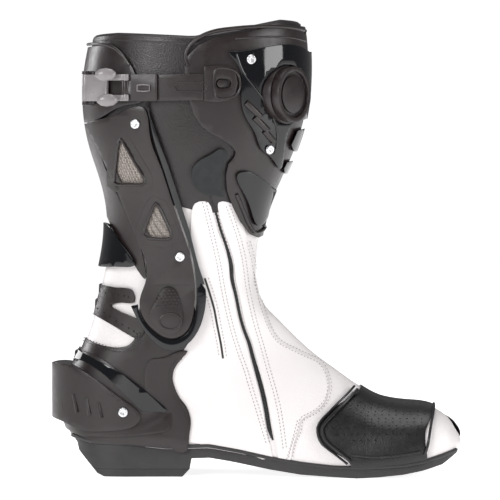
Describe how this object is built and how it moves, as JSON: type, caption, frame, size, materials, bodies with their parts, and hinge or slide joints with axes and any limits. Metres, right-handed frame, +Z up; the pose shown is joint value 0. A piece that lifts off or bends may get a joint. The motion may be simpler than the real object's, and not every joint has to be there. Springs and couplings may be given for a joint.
{
  "type": "motorcycle boot",
  "caption": "Tall left motorcycle racing boot with hinged ankle braces, latched shin flap, side zip, toe pad and heel guard.",
  "frame": {"origin": "on the ground, at the middle of the heel tread", "axes": "+X to the toe, +Z up, -Y to the inner side with the zip"},
  "size_m": [0.313, 0.1231, 0.345],
  "materials": {
    "white_leather": "fine grained, satin",
    "black_leather": "grained, matt",
    "lining": "knitted mesh lining",
    "rubber": "matt",
    "matt_black": "fine textured",
    "gloss_black": "polished",
    "mesh": "woven mesh",
    "steel": "zinc plated",
    "grey_plastic": "satin",
    "stretch": "ribbed stretch fabric",
    "board": "pressed fibre board",
    "foam": "cloth covered foam",
    "white_plastic": "satin"
  },
  "bodies": {
    "foot": {"outsole": "rubber", "heel_lift": "rubber", "shank": "steel", "insole_board": "board", "footbed": "foam", "foot_liner": "lining", "foot_upper": "white_leather", "toe_box": "board", "heel_counter": "board", "ankle_gusset": "white_leather", "toe_pad": "black_leather", "toe_slider": "white_plastic", "toe_slider_screws": "steel", "ankle_frame": "black_leather", "achilles_flex": "matt_black", "heel_cup": "matt_black", "heel_gloss": "gloss_black", "heel_guard": "matt_black", "heel_guard_screws": "steel", "pivot_bases": "matt_black", "pivot_pins": "steel", "zip_lower": "stretch"},
    "shaft": {"leg_lower": "white_leather", "leg_shell": "black_leather", "leg_liner": "lining", "collar": "black_leather", "calf_cuff": "matt_black", "rear_guard": "matt_black", "rear_gloss": "gloss_black", "brace_medial": "matt_black", "brace_lateral": "matt_black", "rail_medial": "gloss_black", "rail_lateral": "gloss_black", "vent_mesh": "mesh", "ankle_pads": "matt_black", "brace_screws": "steel", "buckle_base": "matt_black", "buckle_pin": "steel", "stretch_patch": "stretch", "zip_upper": "stretch"},
    "lever": {"lever": "grey_plastic", "strap_pin": "steel"},
    "strap": {"tongue": "gloss_black", "strap": "matt_black", "clip": "gloss_black"},
    "flap": {"flap_leather": "black_leather", "flap_base": "matt_black", "flap_gloss": "gloss_black", "flap_window": "gloss_black", "flap_screws": "steel", "shin_pads": "gloss_black", "flap_fins": "gloss_black", "dial_base": "matt_black", "flap_catch": "matt_black"},
    "dial": {"calf_dial": "gloss_black"},
    "slider": {"zip_slider": "steel"}
  },
  "joints": [
    {"name": "ankle_flex", "type": "hinge", "parent": "foot", "child": "shaft", "pos_m": [0.021, 0, 0.126], "axis": [0, 1, 0], "range_deg": [-12, 15], "stiffness_Nm_per_rad": 8, "deforming": ["ankle_gusset"]},
    {"name": "lever_swing", "type": "hinge", "parent": "shaft", "child": "lever", "pos_m": [-0.04313, -0.03118, 0.294], "axis": [0, 0, -1], "range_deg": [0, 90]},
    {"name": "strap_swing", "type": "hinge", "parent": "lever", "child": "strap", "pos_m": [-0.0123, -0.05561, 0.294], "axis": [0, 0, -1], "range_deg": [0, 45]},
    {"name": "flap_swing", "type": "hinge", "parent": "shaft", "child": "flap", "pos_m": [0.086, 0.0475, 0.26], "axis": [0, 0, 1], "range_deg": [0, 27]},
    {"name": "dial_spin", "type": "hinge", "parent": "flap", "child": "dial", "pos_m": [0.1045, -0.03621, 0.289], "axis": [0.8067, -0.591, 0], "continuous": true},
    {"name": "zip_slide", "type": "slide", "parent": "shaft", "child": "slider", "axis": [0.2187, 0.272, -0.9371], "range_m": [0, 0.03]}
  ],
  "couplings": [
    {"joint": "flap_swing", "follows": "lever_swing", "ratio": 0.3}
  ]
}
